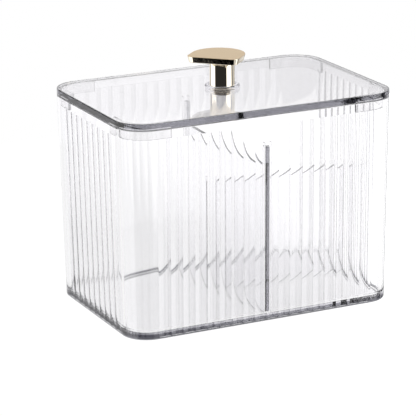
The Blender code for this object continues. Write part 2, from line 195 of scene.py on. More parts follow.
class LidSizes(bpy.types.PropertyGroup):
    """Sizes of the lid."""
    thickness: length("Thickness", "Thickness of the plate", 0.0030)
    edge_round: length("Edge radius", "Radius of the plate's edges", 0.0004)
    lug_thickness: length("Lug thickness", "Thickness of a locating lug", 0.0012)
    lug_leg: length("Lug leg", "Straight length of a lug along each wall", 0.0080)
    lug_clearance: length("Lug clearance", "Gap between a lug and the wall", 0.0004)
    hole_diameter: length("Hole", "Diameter of the hole for the screw", 0.0044)


class KnobSizes(bpy.types.PropertyGroup):
    """Sizes of the knob and its small parts."""
    cap_width: length("Cap width", "Width of the arched cap", 0.0248)
    cap_depth: length("Cap depth", "Depth of the arched cap", 0.0222)
    cap_corner: length("Cap corner radius", "Radius of the two front corners", 0.0036)
    cap_shift: length("Cap shift", "How far the cap sits to one side of the stem", 0.0014)
    cap_turn: angle("Cap turn", "How the cap is turned on the stem", -45)
    cap_edge: length("Cap edge radius", "Radius of the cap's edges", 0.0003)
    cap_lean: length("Cap lean", "How far the cap's sides lean in towards the underside", 0.0008)
    stem_edge: length("Stem edge radius", "Radius of the stem's edges", 0.0004)
    round_sides: face_count("Round sides", "Faces round the stem", 128, 16)


class PlasticLook(bpy.types.PropertyGroup):
    """Looks of the clear plastic."""
    tint: colour("Tint", "Colour of the surface", (0.985, 0.983, 0.99))
    ior: number("IOR", "Index of refraction", 1.57, 1)
    absorption: colour("Absorption colour", "Colour that thick plastic turns to", (0.36, 0.35, 0.42))
    lid_absorption: colour("Lid absorption colour", "Colour of the lid's edge", (0.72, 0.72, 0.745))
    lid_tint: colour("Lid tint", "Colour of the lid's faces", (0.905, 0.90, 0.905))
    # Painted shade: a dark colour on the upright faces beside the floor, standing in for the light caught in
    # the floor's thickness
    painted_floor_shade: colour("Painted floor shade", "Colour of the upright faces beside the floor", (0.12, 0.12, 0.14))
    # Painted shade: a dark colour on the ears' upright ends, standing in for the darkness seen along the
    # rails
    end_shade_colour: colour("Painted end shade", "Colour of the upright ends of the ears", (0.08, 0.08, 0.10))
    density: number("Absorption density", "Absorption per metre", 22)
    haze: share("Haze", "Roughness of the lid and the panels", 0.01)
    flute_haze: share("Flute haze", "Roughness of the fluted box", 0.07)


class GoldLook(bpy.types.PropertyGroup):
    """Looks of the gold plating."""
    satin: colour("Satin gold", "Colour of the brushed top", (0.66, 0.51, 0.31))
    mirror: colour("Mirror gold", "Colour of the polished sides", (0.83, 0.76, 0.62))
    zinc: colour("Dark zinc", "Colour of the screw", (0.08, 0.08, 0.085))
    satin_roughness: share("Satin roughness", "Roughness of the brushed top", 0.38)
    mirror_roughness: share("Mirror roughness", "Roughness of the polished sides", 0.05)
    lift: share("Lift", "How far reflections on upright walls lean up to the soft boxes", 0.30)


class StudioLook(bpy.types.PropertyGroup):
    """Camera, floor and light of the stage."""
    yaw: angle("Yaw", "Turn of the camera", 25.66)
    pitch: angle("Pitch", "Downward tilt of the camera", 16.61)
    roll: angle("Roll", "Roll of the camera", 0.74)
    aim_height: length("Aim height", "Height of the point that the camera is set from", 0.0575)
    aside: length("Aside", "How far that point lies right of the view's centre", 0.0070)
    below: length("Below", "How far that point lies below the view's centre", -0.01517)
    distance: length("Distance", "Distance along the view to that point", 1.11764)
    focal_share: number("Focal share", "Focal length divided by the sensor's width", 5.837)
    table_reach: length("Table reach", "Half width of the pale table", 1.2)
    table_back: length("Table back", "How far the table reaches behind the box", 0.30)
    table_light: number("Table light", "Brightness of the table through the plastic", 0.94)
    table_white: number("Table white", "Brightness of the bare table", 1.03)
    right_light: number("Right light", "How much brighter the table's right end is", 1.28)
    shade: share("Contact shade", "Brightness of the table under the box", 0.92)
    shade_reach: length("Shade reach", "How far inside the outline the shade is full", 0.014)


# Mesh helpers

def scene_sizes(context):
    """All property groups by short name."""
    return {name: getattr(context.scene, PROPERTY_PREFIX + name) for name in GROUPS}


def mesh_object(name, bm):
    """Turn a bmesh into an object at the origin with its faces pointing out."""
    bmesh.ops.recalc_face_normals(bm, faces=bm.faces)
    mesh = bpy.data.meshes.new(name)
    bm.to_mesh(mesh)
    bm.free()
    obj = bpy.data.objects.new(name, mesh)
    bpy.context.scene.collection.objects.link(obj)
    return obj


def add_boolean(obj, tool, operation):
    """Join or cut an object with a tool shape."""
    modifier = obj.modifiers.new(tool.name, "BOOLEAN")
    modifier.operation = operation
    modifier.solver = "EXACT"
    modifier.object = tool
    return tool


def add_bevel(obj, width):
    """Soften every clear edge of a piece."""
    modifier = obj.modifiers.new("Soft edges", "BEVEL")
    modifier.width = width
    modifier.segments = BEVEL_SEGMENTS
    modifier.limit_method = "ANGLE"
    modifier.angle_limit = BEVEL_ANGLE
    modifier.use_clamp_overlap = True


def bake_modifiers(obj, tools=()):
    """Replace an object's mesh by its evaluated one, and remove its modifiers and their tools."""
    graph = bpy.context.evaluated_depsgraph_get()
    baked = bpy.data.meshes.new_from_object(obj.evaluated_get(graph), depsgraph=graph)
    plain = obj.data
    obj.modifiers.clear()
    obj.data = baked
    bpy.data.meshes.remove(plain)
    baked.name = obj.name
    for tool in tools:
        bpy.data.objects.remove(tool, do_unlink=True)


def finish_piece(obj, material, body, node):
    """Shade a piece, give it its material, hang it on the body that it rides on, and hide the CAD part that
    it stands for.
    """
    obj.data.materials.clear()
    obj.data.materials.append(material)
    obj.data.shade_smooth()
    obj.data.set_sharp_from_angle(angle=SHARP_ANGLE)
    weighting = obj.modifiers.new("Flat faces stay flat", "WEIGHTED_NORMAL")
    weighting.mode = "FACE_AREA"
    weighting.weight = 100
    weighting.keep_sharp = True
    bake_modifiers(obj)
    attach(obj, body)
    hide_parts(node)


def bridge(bm, lower, upper):
    """Join two rings of vertices with quads."""
    count = len(lower)
    for i in range(count):
        j = (i + 1) % count
        bm.faces.new((lower[i], lower[j], upper[j], upper[i]))


def skinned(name, *skins):
    """An object of one or more closed skins, each a list of rings with a flat face at each end."""
    bm = bmesh.new()
    for rings in skins:
        rows = [[bm.verts.new(point) for point in ring] for ring in rings]
        for lower, upper in zip(rows, rows[1:]):
            bridge(bm, lower, upper)
        bm.faces.new(list(reversed(rows[0])))
        bm.faces.new(rows[-1])
    return mesh_object(name, bm)


def prism(outline, low, high):
    """The two rings of an upright prism on an outline of (x, y) points."""
    return [[(x, y, z) for x, y in outline] for z in (low, high)]


def turned(name, profile, sides):
    """Turn a profile of (radius, height) points about the Z axis, with a pole where the radius is 0."""
    bm = bmesh.new()
    rings = []
    for radius, height in profile:
        if radius == 0:
            rings.append([bm.verts.new((0, 0, height))])
            continue
        angles = [2 * math.pi * step / sides for step in range(sides)]
        rings.append([bm.verts.new((radius * math.cos(a), radius * math.sin(a), height)) for a in angles])
    for first, second in zip(rings, rings[1:]):
        for i in range(sides):
            j = (i + 1) % sides
            corners = [first[i % len(first)], first[j % len(first)]]
            corners += [second[j % len(second)], second[i % len(second)]]
            bm.faces.new(list(dict.fromkeys(corners)))
    return mesh_object(name, bm)


def arc(centre, radius, start, sweep, steps):
    """Points along an arc, both ends included."""
    angles = [start + sweep * step / steps for step in range(steps + 1)]
    return [(centre[0] + radius * math.cos(a), centre[1] + radius * math.sin(a)) for a in angles]


def edge_profile(radius, low, high, steps):
    """(inset, height) points of a plate's rim, rounded at its lower and upper edge."""
    lower = [(radius * (1 - math.cos(t)), low + radius * (1 - math.sin(t)))
             for t in [QUARTER * (1 - step / steps) for step in range(steps + 1)]]
    upper = [(inset, low + high - height) for inset, height in reversed(lower)]
    return lower + upper


# Node helpers

def feed(tree, node, inputs):
    """Set a node's inputs, each to a plain value or to another node's output."""
    for key, value in dict(inputs).items():
        if isinstance(value, bpy.types.NodeSocket):
            tree.links.new(value, node.inputs[key])
        else:
            node.inputs[key].default_value = value


def new_node(tree, kind, inputs=(), **settings):
    """A node with its settings and its inputs."""
    node = tree.nodes.new(kind)
    for name, value in settings.items():
        setattr(node, name, value)
    feed(tree, node, inputs)
    return node


def add_sockets(tree, way, sockets):
    """Give a node group its inputs or outputs, as a name and a kind each."""
    for name, kind in sockets.items():
        tree.interface.new_socket(name=name, in_out=way, socket_type="NodeSocket" + kind)


def math_value(tree, operation, first, second=0.0):
    """A Math node on values or sockets."""
    return new_node(tree, "ShaderNodeMath", {0: first, 1: second}, operation=operation).outputs[0]


def spread(tree, value, low, high, start=0.0, end=1.0, smooth=False):
    """Map a value that runs from start to end onto a range."""
    places = {"Value": value, "From Min": start, "From Max": end, "To Min": low, "To Max": high}
    way = "SMOOTHSTEP" if smooth else "LINEAR"
    return new_node(tree, "ShaderNodeMapRange", places, interpolation_type=way).outputs[0]


def value_mix(tree, mask, first, second):
    """A value that changes from the first to the second where a mask is 1."""
    return new_node(tree, "ShaderNodeMix", {"Factor": mask, "A": first, "B": second}).outputs["Result"]


def colour_mix(tree, mask, first, second):
    """A colour that changes from the first to the second where a mask is 1."""
    sides = [side if isinstance(side, bpy.types.NodeSocket) else (*side, 1) for side in (first, second)]
    mix = new_node(tree, "ShaderNodeMix", {"Factor": mask, "A": sides[0], "B": sides[1]}, data_type="RGBA")
    return mix.outputs["Result"]


def object_place(tree):
    """A point's Object coordinates."""
    return new_node(tree, "ShaderNodeTexCoord").outputs["Object"]


def split(tree, vector):
    """The three values of a vector."""
    return new_node(tree, "ShaderNodeSeparateXYZ", {0: vector}).outputs


# The box

class BoxShape:
    """The outline of the moulded box at any height."""

    def __init__(self, sizes):
        self.s = sizes
        self.height = BODY_HIGH.z
        self.corner_x = BODY_HIGH.x - sizes.corner_radius
        self.corner_y = BODY_HIGH.y - sizes.corner_radius

    def inset_at(self, height):
        """How far the drafted wall stands inside the rim outline."""
        return self.s.draft_inset * (1 - height / self.height)

    def wall_face(self, run_half, height):
        """The wall's inner face, measured from the middle of the box."""
        return run_half + self.s.corner_radius - self.inset_at(height) - self.s.wall

    def side_places(self, half_run):
        """Places along one side, with the flutes' columns, and whether each is in the fluted stretch."""
        pitch, steps = self.s.flute_pitch, self.s.flute_steps
        count = int(half_run * 2 / pitch)
        columns = [((i / steps) - count / 2) * pitch for i in range(count * steps + 1)]
        return [(-half_run, False)] + [(c, True) for c in columns] + [(half_run, False)]

    def ring(self, inset, height):
        """Points of the outline, counter-clockwise, each with its inward direction where flutes run."""
        radius = self.s.corner_radius - inset
        reach_x, reach_y = self.corner_x + radius, self.corner_y + radius
        sides = (
            (self.corner_x, lambda run: (run, -reach_y), (0, 1, 0), (1, -1)),
            (self.corner_y, lambda run: (reach_x, run), (-1, 0, 0), (1, 1)),
            (self.corner_x, lambda run: (-run, reach_y), (0, -1, 0), (-1, 1)),
            (self.corner_y, lambda run: (-reach_x, -run), (1, 0, 0), (-1, -1)),
        )
        points, inward = [], []
        for index, (half_run, place, direction, (sign_x, sign_y)) in enumerate(sides):
            for run, fluted in self.side_places(half_run):
                points.append((*place(run), height))
                inward.append(direction if fluted else (0, 0, 0))
            centre = (sign_x * self.corner_x, sign_y * self.corner_y)
            for x, y in arc(centre, radius, QUARTER * (index - 1), QUARTER, self.s.corner_steps)[1:-1]:
                points.append((x, y, height))
                inward.append((0, 0, 0))
        return points, inward

    def levels(self):
        """Every ring as (inset, height, fluted), from the foot up the outside and down the inside."""
        s = self.s
        steps = s.round_steps
        top_round = [(s.edge_round * (1 - math.cos(t)), self.height - s.edge_round * (1 - math.sin(t)))
                     for t in [QUARTER * step / steps for step in range(steps + 1)]]
        foot_round = [(inset, self.height - height) for inset, height in reversed(top_round)]
        flute_top = self.height - s.plain_band
        outside = [(self.inset_at(z) + inset, z, False) for inset, z in foot_round]
        for z, fluted in ((s.flute_start, False), (s.flute_start + s.flute_ledge, True),
                          (flute_top - s.flute_ledge, True), (flute_top, False)):
            outside.append((self.inset_at(z), z, fluted))
        outside += [(self.inset_at(z) + inset, z, False) for inset, z in top_round]
        inside = [(self.inset_at(z) + s.wall - inset, z, False) for inset, z in reversed(top_round)]
        for step in range(2 * steps + 1):
            turn = QUARTER * step / (2 * steps)
            z = self.floor_top + s.floor_fillet * (1 - math.sin(turn))
            inside.append((self.inset_at(z) + s.wall + s.floor_fillet * (1 - math.cos(turn)), z, False))
        return outside + inside

    @property
    def floor_top(self):
        return self.s.foot_height + self.s.floor_thickness


def fluting_tree():
    """Geometry Nodes that hollow a row of flutes into the vertices marked with an inward direction."""
    tree = bpy.data.node_groups.new("Wall flutes", "GeometryNodeTree")
    tree.is_modifier = True
    add_sockets(tree, "OUTPUT", {"Geometry": "Geometry"})
    add_sockets(tree, "INPUT", {"Geometry": "Geometry", "Flute pitch": "Float", "Flute radius": "Float",
                                "Material": "Material"})
    given = new_node(tree, "NodeGroupInput").outputs
    position = new_node(tree, "GeometryNodeInputPosition").outputs[0]
    inward = new_node(tree, "GeometryNodeInputNamedAttribute", {"Name": "inward"},
                      data_type="FLOAT_VECTOR").outputs[0]
    along = new_node(tree, "ShaderNodeVectorMath", {0: inward, 1: (0, 0, 1)},
                     operation="CROSS_PRODUCT").outputs[0]
    run = new_node(tree, "ShaderNodeVectorMath", {0: position, 1: along},
                   operation="DOT_PRODUCT").outputs["Value"]

    compute = partial(math_value, tree)
    pitch, radius = given["Flute pitch"], given["Flute radius"]
    phase = compute("FRACT", compute("DIVIDE", run, pitch))
    across = compute("MULTIPLY", compute("SUBTRACT", phase, 0.5), pitch)
    half = compute("MULTIPLY", pitch, 0.5)
    square = compute("MULTIPLY", radius, radius)
    here = compute("SQRT", compute("SUBTRACT", square, compute("MULTIPLY", across, across)))
    crest = compute("SQRT", compute("SUBTRACT", square, compute("MULTIPLY", half, half)))
    depth = compute("SUBTRACT", here, crest)

    push = new_node(tree, "ShaderNodeVectorMath", {0: inward, "Scale": depth}, operation="SCALE").outputs[0]
    moved = new_node(tree, "GeometryNodeSetPosition", {"Geometry": given["Geometry"], "Offset": push})
    real = new_node(tree, "GeometryNodeRealizeInstances", {0: moved.outputs[0]})
    finished = new_node(tree, "GeometryNodeSetMaterial",
                        {"Geometry": real.outputs[0], "Material": given["Material"]})
    new_node(tree, "NodeGroupOutput", {0: finished.outputs[0]})
    return tree


def set_inputs(modifier, values):
    """Set a Geometry Nodes modifier's inputs by their names, through the sockets' identifiers."""
    for item in modifier.node_group.interface.items_tree:
        if item.item_type == "SOCKET" and item.in_out == "INPUT" and item.name in values:
            modifier[item.identifier] = values[item.name]


def tray_skin(shape):
    """The plain tray, with the direction of its flutes stored on its vertices."""
    bm = bmesh.new()
    layer = bm.verts.layers.float_vector.new("inward")
    rows = []
    for inset, height, fluted in shape.levels():
        points, inward = shape.ring(inset, height)
        row = []
        for point, direction in zip(points, inward):
            vertex = bm.verts.new(point)
            vertex[layer] = direction if fluted else (0, 0, 0)
            row.append(vertex)
        rows.append(row)
    for lower, upper in zip(rows, rows[1:]):
        bridge(bm, lower, upper)
    bm.faces.new(rows[-1])
    foot_inset = shape.inset_at(0) + shape.s.foot_width
    low, high = [[bm.verts.new(point) for point in shape.ring(foot_inset, height)[0]]
                 for height in (0, shape.s.foot_height)]
    bridge(bm, low, rows[0])
    bridge(bm, high, low)
    bm.faces.new(high)
    return mesh_object("fluted_box", bm)


def rail_pair(shape, panels, side, centre, top):
    """The rings of two rails on the inside of a wall, round a place along it. side points out of it."""
    out_x, out_y = side
    run_half = shape.corner_x if out_x else shape.corner_y
    bottom = shape.floor_top - shape.s.floor_thickness / 2
    slot_half = panels.thickness / 2 + panels.clearance
    rails = []
    for sign in (-1, 1):
        near = centre + sign * slot_half
        far = near + sign * panels.rail_thickness
        rings = []
        for height in (bottom, top):
            face = shape.wall_face(run_half, height)
            depths = ((face - panels.rail_depth, near), (face - panels.rail_depth, far),
                      (face + shape.s.wall / 3, far), (face + shape.s.wall / 3, near))
            rings.append([(out_x * d + abs(out_y) * a, out_y * d + abs(out_x) * a, height)
                          for d, a in depths])
        rails.append(rings)
    return rails


def make_fluted_box(sizes, material):
    """The moulded box with its flutes and rails."""
    shape = BoxShape(sizes["box"])
    panels = sizes["panels"]
    obj = tray_skin(shape)
    modifier = obj.modifiers.new("Wall flutes", "NODES")
    modifier.node_group = fluting_tree()
    set_inputs(modifier, {
        "Flute pitch": sizes["box"].flute_pitch,
        "Flute radius": sizes["box"].flute_radius,
        "Material": material,
    })
    main_place = MAIN_LOW.x + panels.thickness / 2
    main_top, cross_top = MAIN_HIGH.z + panels.rail_over, CROSS_HIGH.z + panels.rail_over
    pairs = (((0, -1), main_place, main_top), ((0, 1), main_place, main_top), ((1, 0), 0, cross_top))
    rails = skinned("rails", *[rail for pair in pairs for rail in rail_pair(shape, panels, *pair)])
    add_bevel(rails, panels.edge_soft)
    bake_modifiers(rails)
    add_boolean(obj, rails, "UNION")
    bake_modifiers(obj, [rails])
    finish_piece(obj, material, "box", "box_body")


# The panels

def panel_foot(shape, panels, run_half, bottom, steps):
    """The rounded foot of a panel beside a drafted wall, going up."""
    radius = shape.s.floor_fillet - panels.clearance
    reach = shape.wall_face(run_half, shape.floor_top + shape.s.floor_fillet) - panels.clearance
    return arc((reach - radius, bottom + radius), radius, -QUARTER, QUARTER, steps)


def panel_head(shape, panels, run_half, top, steps):
    """The rounded upper corner of a panel beside a drafted wall, going up."""
    reach = shape.wall_face(run_half, top) - panels.clearance
    return arc((reach - panels.top_round, top - panels.top_round), panels.top_round, 0, QUARTER, steps)


def panel_ear(shape, panels, run_half, top, steps):
    """The ear that runs on up the rails past the panel's top, going over it from the wall inwards."""
    bend = panels.ear_round
    outer = shape.wall_face(run_half, top) - panels.clearance
    inner = outer - panels.ear_width
    low = top - panels.ear_height
    points = arc((outer - bend, top - bend), bend, 0, QUARTER, steps)
    points += arc((inner + bend, top - bend), bend, QUARTER, QUARTER, steps)
    points += arc((inner - bend, low + bend), bend, 0, -QUARTER, steps)
    return points


def make_main_panel(sizes, material):
    """The tall panel with an ear at each end and the ribs that hold the cross panel."""
    shape, panels = BoxShape(sizes["box"]), sizes["panels"]
    steps = 2 * sizes["box"].round_steps
    right = panel_foot(shape, panels, shape.corner_y, MAIN_LOW.z, steps)
    right += panel_ear(shape, panels, shape.corner_y, MAIN_HIGH.z, steps)
    outline = right + [(-reach, height) for reach, height in reversed(right)]
    left_face, middle = MAIN_LOW.x, MAIN_LOW.x + panels.thickness / 2
    right_face = MAIN_LOW.x + panels.thickness
    obj = skinned("main_panel", [[(x, y, z) for y, z in outline] for x in (left_face, right_face)])
    ribs = []
    slot_half = panels.thickness / 2 + panels.clearance
    rib_top = CROSS_HIGH.z + panels.rail_over
    rib_end = right_face + panels.rail_depth
    for sign in (-1, 1):
        near, far = sign * slot_half, sign * (slot_half + panels.rail_thickness)
        base = [(middle, near), (rib_end, near), (rib_end, far), (middle, far)]
        ribs.append(prism(base, MAIN_LOW.z, rib_top))
    tool = add_boolean(obj, skinned("ribs", *ribs), "UNION")
    add_bevel(obj, panels.edge_soft)
    bake_modifiers(obj, [tool])
    finish_piece(obj, material, "main_divider", "main_divider")


def make_cross_panel(sizes, material):
    """The lower panel that parts the right half."""
    shape, panels = BoxShape(sizes["box"]), sizes["panels"]
    steps = 2 * sizes["box"].round_steps
    right = panel_foot(shape, panels, shape.corner_x, CROSS_LOW.z, steps)
    right += panel_head(shape, panels, shape.corner_x, CROSS_HIGH.z, steps)
    outline = right + [(CROSS_LOW.x, CROSS_HIGH.z), (CROSS_LOW.x, CROSS_LOW.z)]
    half = panels.thickness / 2
    obj = skinned("cross_panel", [[(x, y, z) for x, z in outline] for y in (half, -half)])
    add_bevel(obj, panels.edge_soft)
    bake_modifiers(obj)
    finish_piece(obj, material, "cross_divider", "cross_divider")


# The lid

def make_lid_plate(sizes, material):
    """The lid with its four corner lugs and its screw hole."""
    shape, lid = BoxShape(sizes["box"]), sizes["lid"]
    box = sizes["box"]
    bottom = LID_HIGH.z - lid.thickness
    rings = []
    for inset, height in edge_profile(lid.edge_round, bottom, LID_HIGH.z, 2 * box.round_steps):
        ring = []
        for index, (sign_x, sign_y) in enumerate(((1, -1), (1, 1), (-1, 1), (-1, -1))):
            centre = (sign_x * shape.corner_x, sign_y * shape.corner_y)
            start = QUARTER * (index - 1)
            corner = arc(centre, box.corner_radius - inset, start, QUARTER, box.corner_steps)
            ring += [(x, y, height) for x, y in corner]
        rings.append(ring)
    obj = skinned("lid_plate", rings)
    lugs = []
    lug_low = LID_LOW.z
    outer = box.corner_radius - box.wall - shape.inset_at(lug_low) - lid.lug_clearance
    inner = outer - lid.lug_thickness
    corner = [(outer, -lid.lug_leg)] + arc((0, 0), outer, 0, QUARTER, box.corner_steps)
    corner += [(-lid.lug_leg, outer), (-lid.lug_leg, inner)]
    corner += arc((0, 0), inner, QUARTER, -QUARTER, box.corner_steps) + [(inner, -lid.lug_leg)]
    for sign_x in (-1, 1):
        for sign_y in (-1, 1):
            outline = [(sign_x * (shape.corner_x + x), sign_y * (shape.corner_y + y)) for x, y in corner]
            lugs.append(prism(outline, lug_low, bottom + lid.thickness / 3))
    lug_tool = skinned("lugs", *lugs)
    add_bevel(lug_tool, sizes["panels"].edge_soft)
    bake_modifiers(lug_tool)
    add_boolean(obj, lug_tool, "UNION")
    radius = lid.hole_diameter / 2
    low, high = bottom - lid.thickness, LID_HIGH.z + lid.thickness
    bore = [(0, low), (radius, low), (radius, high), (0, high)]
    hole_tool = add_boolean(obj, turned("hole", bore, sizes["knob"].round_sides // 2), "DIFFERENCE")
    bake_modifiers(obj, [lug_tool, hole_tool])
    finish_piece(obj, material, "lid", "lid")


# The knob

def make_gold_cap(sizes, material):
    """The flat arched plate on top of the stem."""
    knob = sizes["knob"]
    steps = 2 * sizes["box"].corner_steps
    turn = Matrix.Rotation(knob.cap_turn, 3, "Z")
    rings = []
    for edge_inset, height in edge_profile(knob.cap_edge, CAP_LOW.z, CAP_HIGH.z, EDGE_STEPS):
        inset = edge_inset + knob.cap_lean * (CAP_HIGH.z - height) / (CAP_HIGH.z - CAP_LOW.z)
        radius = knob.cap_width / 2 - inset
        corner = knob.cap_corner - inset
        front = -knob.cap_depth / 2 + inset
        arch_centre = (knob.cap_depth - knob.cap_width) / 2
        outline = arc((0, arch_centre), radius, 0, 2 * QUARTER, steps)
        outline += arc((corner - radius, front + corner), corner, 2 * QUARTER, QUARTER, steps // 4)
        outline += arc((radius - corner, front + corner), corner, -QUARTER, QUARTER, steps // 4)
        rings.append([turn @ Vector((x - knob.cap_shift, y, height)) for x, y in outline])
    finish_piece(skinned("gold_cap", rings), material, "lid", "knob_cap")


def make_mirror_stem(sizes, material):
    """The polished post, bored for its screw."""
    knob = sizes["knob"]
    bore = sizes["lid"].hole_diameter / 2
    bore_top = SCREW_HIGH.z + sizes["panels"].clearance
    edge = edge_profile(knob.stem_edge, STEM_LOW.z, STEM_HIGH.z, EDGE_STEPS)
    side = [(STEM_HIGH.x - inset, z) for inset, z in edge]
    profile = [(0, bore_top), (bore, bore_top), (bore, STEM_LOW.z)] + side + [(0, STEM_HIGH.z)]
    obj = turned("mirror_stem", profile, knob.round_sides)
    finish_piece(obj, material, "lid", "knob_stem")


def make_clear_collar(sizes, material):
    """The clear rounded ring round the foot of the stem."""
    knob = sizes["knob"]
    outer = COLLAR_HIGH.x
    inner = STEM_HIGH.x + sizes["panels"].clearance
    middle, half_width = (outer + inner) / 2, (outer - inner) / 2
    crown = (COLLAR_HIGH.z - COLLAR_LOW.z) / 2
    profile = [(outer, COLLAR_LOW.z)]
    for step in range(COLLAR_STEPS + 1):
        turn = math.pi * step / COLLAR_STEPS
        profile.append((middle + half_width * math.cos(turn), COLLAR_LOW.z + crown + crown * math.sin(turn)))
    profile.append((inner, COLLAR_LOW.z))
    bm = bmesh.new()
    rings = []
    for step in range(knob.round_sides):
        turn = 2 * math.pi * step / knob.round_sides
        rings.append([bm.verts.new((r * math.cos(turn), r * math.sin(turn), z)) for r, z in profile])
    for first, second in zip(rings, rings[1:] + rings[:1]):
        bridge(bm, first, second)
    finish_piece(mesh_object("clear_collar", bm), material, "lid", "knob_collar")


def make_pan_screw(sizes, material):
    """The screw under the lid, with a hexagon socket."""
    knob = sizes["knob"]
    head = SCREW_HIGH.x
    shank = sizes["lid"].hole_diameter / 2 - sizes["panels"].clearance
    head_top = LID_HIGH.z - sizes["lid"].thickness - sizes["panels"].clearance
    head_low = SCREW_LOW.z
    rounding = (head_top - head_low) / 4
    edge = edge_profile(rounding, head_low, head_top, EDGE_STEPS)[:EDGE_STEPS + 1]
    dome = [(head - inset, z) for inset, z in edge]
    tip = SCREW_HIGH.z
    profile = [(0, head_low)] + dome + [(head, head_top), (shank, head_top)]
    profile += [(shank, tip - shank / 2), (shank / 2, tip), (0, tip)]
    obj = turned("pan_screw", profile, knob.round_sides)
    across = head / 3
    hexagon = arc((0, 0), across, 0, 4 * QUARTER, SOCKET_SIDES)[:-1]
    depth = (head_top - head_low) / 2
    socket = skinned("socket", prism(hexagon, head_low - depth, head_low + depth))
    tool = add_boolean(obj, socket, "DIFFERENCE")
    bake_modifiers(obj, [tool])
    finish_piece(obj, material, "lid", "knob_screw")


# Materials

def shader_material(name):
    """A new node material with its tree, its Principled shader and its output."""
    material = bpy.data.materials.new(name)
    material.use_nodes = True
    tree = material.node_tree
    return material, tree, tree.nodes["Principled BSDF"], tree.nodes["Material Output"]


def surface_group():
    """Faint waviness and handling marks of a polished surface, as a height and a mask, built once."""
    name = "Moulded surface"
    if name in bpy.data.node_groups:
        return bpy.data.node_groups[name]
    group = bpy.data.node_groups.new(name, "ShaderNodeTree")
    add_sockets(group, "INPUT", {"Vector": "Vector", "Wave scale": "Float", "Mark scale": "Float"})
    add_sockets(group, "OUTPUT", {"Height": "Float", "Marks": "Float"})
    given = new_node(group, "NodeGroupInput").outputs
    wave = {"Vector": given["Vector"], "Scale": given["Wave scale"], "Detail": 1}
    height = new_node(group, "ShaderNodeTexNoise", wave).outputs["Fac"]
    grain = {"Vector": given["Vector"], "Scale": given["Mark scale"], "Detail": 4, "Roughness": 0.6}
    marks = new_node(group, "ShaderNodeTexNoise", grain).outputs["Fac"]
    new_node(group, "NodeGroupOutput", {"Height": height, "Marks": spread(group, marks, 0, 1, *MARK_BAND)})
    return group


def surface_detail(tree, scales):
    """The surface group's height and marks in a material, on Object coordinates."""
    detail = new_node(tree, "ShaderNodeGroup", node_tree=surface_group())
    feed(tree, detail, {"Vector": object_place(tree), "Wave scale": scales[0], "Mark scale": scales[1]})
    return detail.outputs["Height"], detail.outputs["Marks"]


def scaled(values, factor):
    """Each of some values, such as a colour's, times a factor."""
    return [value * factor for value in values]


def bumped(tree, height, bump, normal=None):
    """A normal that follows a height, with the bump's strength and distance."""
    inputs = {"Height": height, "Strength": bump[0], "Distance": bump[1]}
    if normal is not None:
        inputs["Normal"] = normal
    return new_node(tree, "ShaderNodeBump", inputs).outputs[0]


def lifted_normal(tree, lift):
    """The surface normal leaned up, so that upright polished walls mirror what is above the horizon."""
    normal = new_node(tree, "ShaderNodeNewGeometry").outputs["Normal"]
    lean = new_node(tree, "ShaderNodeVectorMath", {0: normal, 1: (0, 0, lift)}).outputs[0]
    return new_node(tree, "ShaderNodeVectorMath", {0: lean}, operation="NORMALIZE").outputs[0]


def face_direction(tree, axis):
    """How squarely a face looks along an axis, either way."""
    normal = new_node(tree, "ShaderNodeTexCoord").outputs["Normal"]
    return math_value(tree, "ABSOLUTE", split(tree, normal)[axis])


def shade_painted_ends(tree, look, tone, start):
    """Paint shade on the upright ends of a panel above a height: a dark colour that stands in for the
    darkness seen along the rails.
    """
    compute = partial(math_value, tree)
    place = split(tree, object_place(tree))
    upright = compute("GREATER_THAN", face_direction(tree, "Y"), SLANTED)
    outer = compute("GREATER_THAN", compute("ABSOLUTE", place["Y"]), MAIN_HIGH.y * SHADED_END_SHARE)
    high = compute("GREATER_THAN", place["Z"], start)
    mask = compute("MULTIPLY", compute("MULTIPLY", upright, outer), high)
    return colour_mix(tree, mask, tone, look.end_shade_colour)


def painted_floor_shade(tree, look, tone, top):
    """Paint shade on the upright faces beside the floor, except at the back right, as a dark colour that
    stands in for the light caught in the floor's thickness.
    """
    compute = partial(math_value, tree)
    place = split(tree, object_place(tree))
    upright = compute("LESS_THAN", face_direction(tree, "Z"), SLANTED)
    low = compute("LESS_THAN", place["Z"], top)
    near = compute("LESS_THAN", compute("MINIMUM", place["X"], place["Y"]), 0)
    mask = compute("MULTIPLY", compute("MULTIPLY", upright, low), near)
    return colour_mix(tree, mask, tone, look.painted_floor_shade)


def clear_plastic(name, look, haze=None, tint=None, absorption=None, ends_shaded_from=None, floor_shade_top=None):
    """Clear moulded plastic with faint absorption, built once for each name."""
    if name in bpy.data.materials:
        return bpy.data.materials[name]
    material, tree, shader, output = shader_material(name)
    height, marks = surface_detail(tree, PLASTIC_DETAIL)
    haze = look.haze if haze is None else haze
    tint = tint or look.tint
    surface = colour_mix(tree, marks, tint, scaled(tint, PLASTIC_FADE))
    # Painted shade on a panel's upright ends above a height
    if ends_shaded_from is not None:
        surface = shade_painted_ends(tree, look, surface, ends_shaded_from)
    # Painted shade on the upright faces beside the floor
    if floor_shade_top is not None:
        surface = painted_floor_shade(tree, look, surface, floor_shade_top)
    feed(tree, shader, {
        "Transmission Weight": 1,
        "IOR": look.ior,
        "Metallic": 0,
        "Base Color": surface,
        "Roughness": spread(tree, marks, haze / 2, haze),
        "Normal": bumped(tree, height, PLASTIC_BUMP),
    })
    volume = new_node(tree, "ShaderNodeVolumeAbsorption", {
        "Color": (*(absorption or look.absorption), 1),
        "Density": look.density * DENSITY_SHARES[name],
    })
    feed(tree, output, {"Volume": volume.outputs[0]})
    return material


